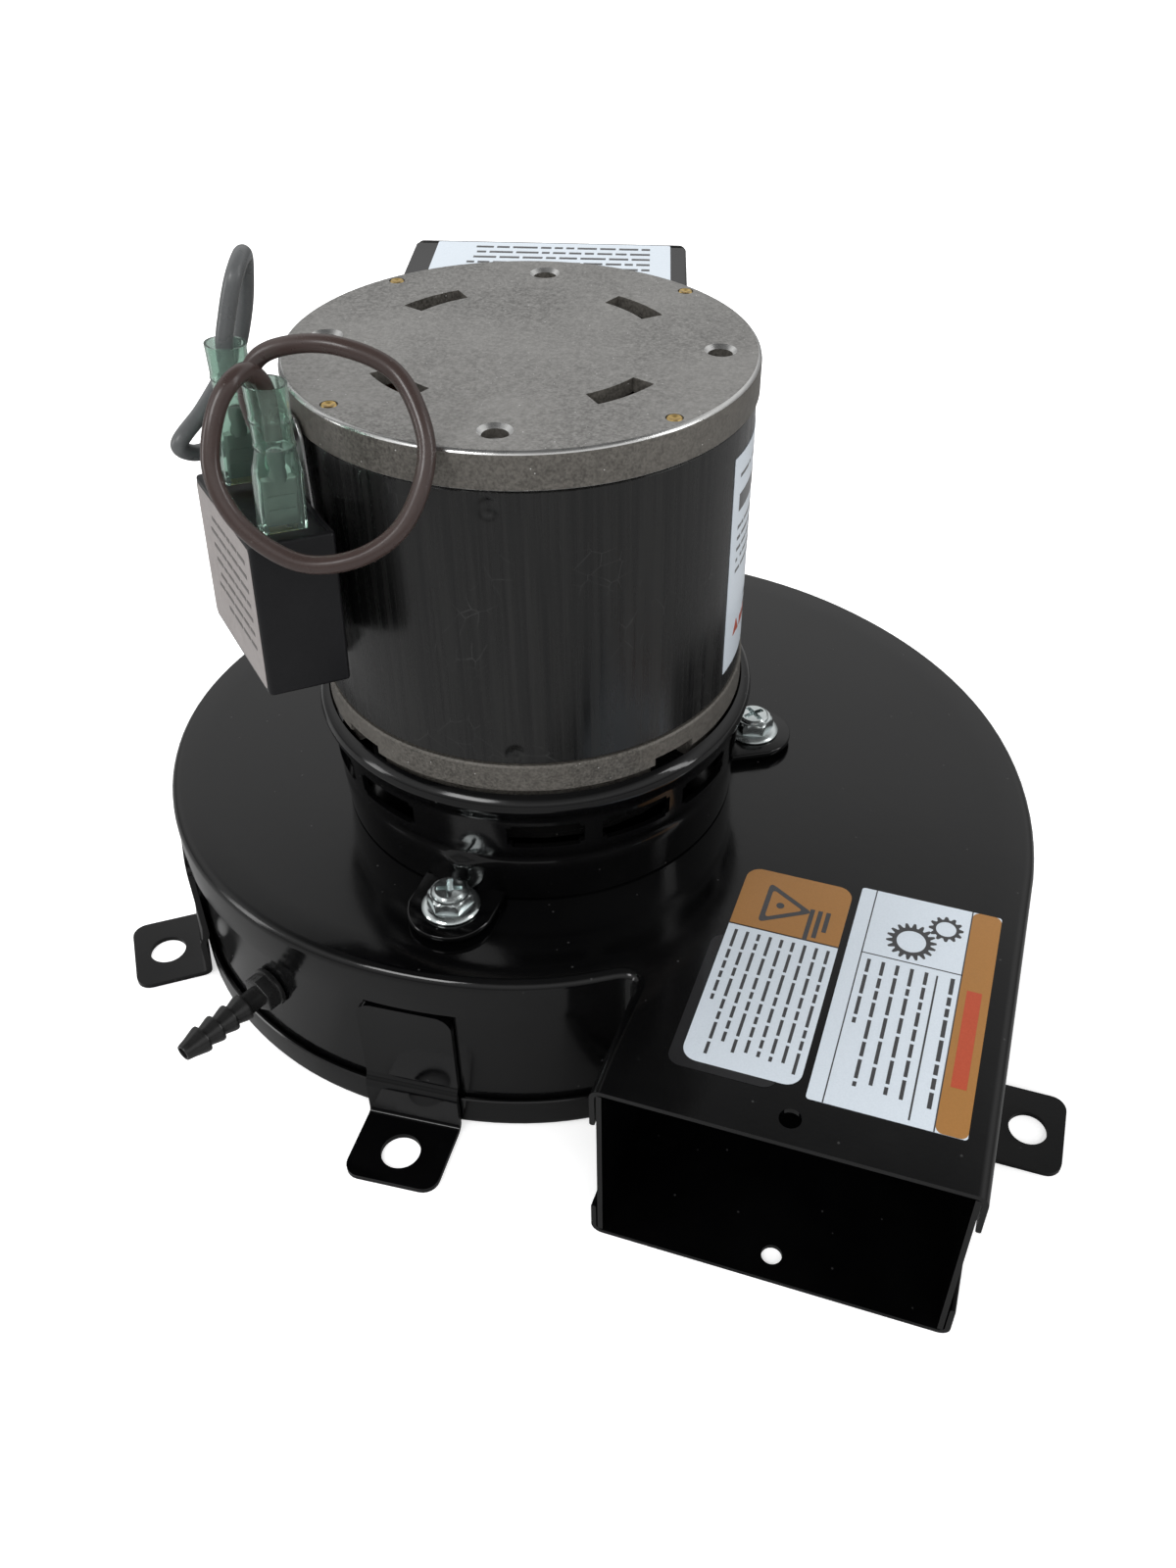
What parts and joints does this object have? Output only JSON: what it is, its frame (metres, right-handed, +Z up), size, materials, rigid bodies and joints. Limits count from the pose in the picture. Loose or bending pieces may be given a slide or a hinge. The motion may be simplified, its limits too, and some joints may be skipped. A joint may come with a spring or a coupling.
{
  "type": "combustion fan",
  "caption": "Draft blower for a gas burner: a vertical motor on a vented ring above a black sheet-metal scroll, with a side outlet, a bottom inlet, a capacitor and leads.",
  "frame": {"origin": "middle of the bounding box in X and Y, at the plane under the feet and the inlet pan", "axes": "+Z up along the motor shaft, -Y out of the rectangular outlet, +X towards the outlet's side of the scroll"},
  "size_m": [0.2138, 0.194, 0.1607],
  "materials": {
    "black_paint": "gloss black paint on sheet steel",
    "cast_aluminium": "bead-blasted die casting, mottled grey",
    "steel": "plain steel",
    "zinc": "bright zinc plate",
    "lamination": "stacked electrical steel",
    "copper": "varnished copper wire",
    "brass": "plain brass and bearing bronze",
    "black_plastic": "moulded black plastic",
    "black_rubber": "soft black rubber",
    "seal_fibre": "fibre heat seal",
    "boot_vinyl": "translucent green vinyl",
    "brown_pvc": "brown lead insulation",
    "grey_pvc": "grey lead insulation"
  },
  "bodies": {
    "housing": {"housing_lid": "black_paint", "housing_bottom": "black_paint", "scroll_wall": "black_paint", "foot_left": "black_paint", "foot_front": "black_paint", "foot_right": "black_paint", "foot_back": "black_paint", "motor_adapter": "black_paint", "motor_shell": "black_paint", "wiring_box": "black_paint", "wiring_box_cover": "black_paint", "end_shield_top": "cast_aluminium", "end_shield_bottom": "cast_aluminium", "capacitor_bracket": "steel", "adapter_screw_front": "zinc", "adapter_screw_right": "zinc", "adapter_screw_left": "zinc", "receptacle_front": "zinc", "receptacle_rear": "zinc", "stator_core": "lamination", "winding_top": "copper", "winding_bottom": "copper", "bearing_top": "brass", "bearing_bottom": "brass", "shield_pin_1": "brass", "shield_pin_2": "brass", "shield_pin_3": "brass", "shield_pin_4": "brass", "terminal_front": "brass", "terminal_rear": "brass", "capacitor": "black_plastic", "pressure_tap": "black_plastic", "thermal_protector": "black_plastic", "lead_grommet": "black_rubber", "shaft_seal": "seal_fibre", "boot_front": "boot_vinyl", "boot_rear": "boot_vinyl", "lead_brown": "brown_pvc", "lead_grey": "grey_pvc"},
    "rotor": {"shaft": "steel", "rotor_core": "lamination", "thrust_washer": "steel", "cooling_fan": "black_plastic", "impeller_wheel": "steel", "impeller_hub": "steel", "impeller_setscrew": "zinc"}
  },
  "joints": [
    {"name": "shaft_spin", "type": "hinge", "parent": "housing", "child": "rotor", "pos_m": [-0.0185, -0.01361, 0.07], "axis": [0, 0, -1], "continuous": true}
  ]
}
